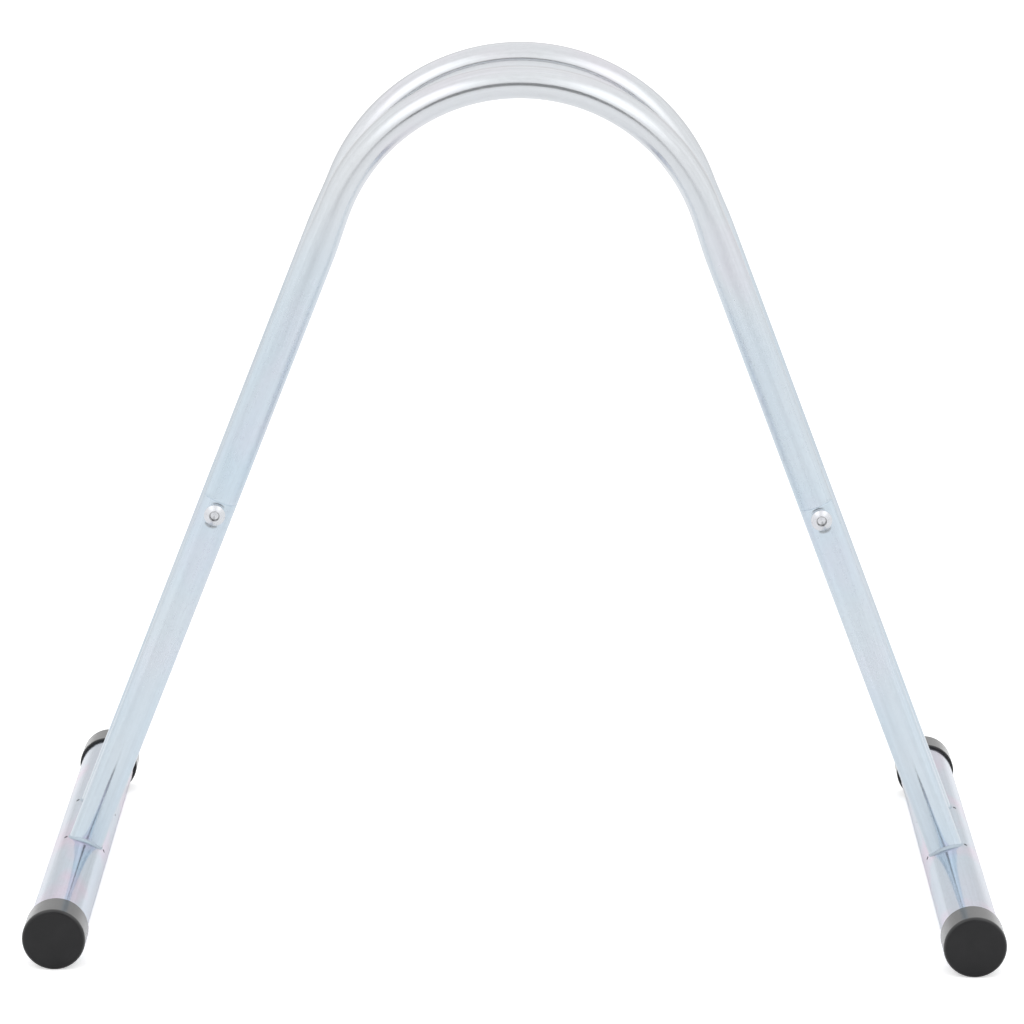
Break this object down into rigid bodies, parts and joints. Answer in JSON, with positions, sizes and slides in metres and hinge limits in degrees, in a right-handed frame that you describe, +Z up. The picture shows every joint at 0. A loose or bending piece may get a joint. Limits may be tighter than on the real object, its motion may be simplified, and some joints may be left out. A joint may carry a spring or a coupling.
{
  "type": "floor bike rack",
  "caption": "Free-standing floor rack that holds a bicycle wheel in the slot between twin inverted U hoops on capped floor tubes.",
  "frame": {"origin": "on the floor under the middle of the rack", "axes": "+Z up, +X along the wheel slot between the left and right floor tubes, +Y across the slot from the front hoop to the back hoop"},
  "size_m": [0.543, 0.33, 0.486],
  "materials": {
    "zinc_floor_tube": "bright zinc plating with faint pink and blue passivation tints",
    "zinc_hoop_tube": "bright zinc plating, fine drawn lines along the tube",
    "zinc_weld": "zinc plated weld bead",
    "zinc_screw": "bright zinc plated screw",
    "plain_nut": "zinc plated nut",
    "black_cap": "moulded black polyethylene, fine grain"
  },
  "bodies": {
    "root": {"left_floor_tube": "zinc_floor_tube", "right_floor_tube": "zinc_floor_tube", "front_arch": "zinc_hoop_tube", "back_arch": "zinc_hoop_tube", "front_left_end_cap": "black_cap", "front_left_leg": "zinc_hoop_tube", "front_left_foot_weld": "zinc_weld", "front_left_joint_screw": "zinc_screw", "front_left_joint_nut": "plain_nut", "front_right_end_cap": "black_cap", "front_right_leg": "zinc_hoop_tube", "front_right_foot_weld": "zinc_weld", "front_right_joint_screw": "zinc_screw", "front_right_joint_nut": "plain_nut", "back_left_end_cap": "black_cap", "back_left_leg": "zinc_hoop_tube", "back_left_foot_weld": "zinc_weld", "back_left_joint_screw": "zinc_screw", "back_left_joint_nut": "plain_nut", "back_right_end_cap": "black_cap", "back_right_leg": "zinc_hoop_tube", "back_right_foot_weld": "zinc_weld", "back_right_joint_screw": "zinc_screw", "back_right_joint_nut": "plain_nut"}
  },
  "joints": []
}
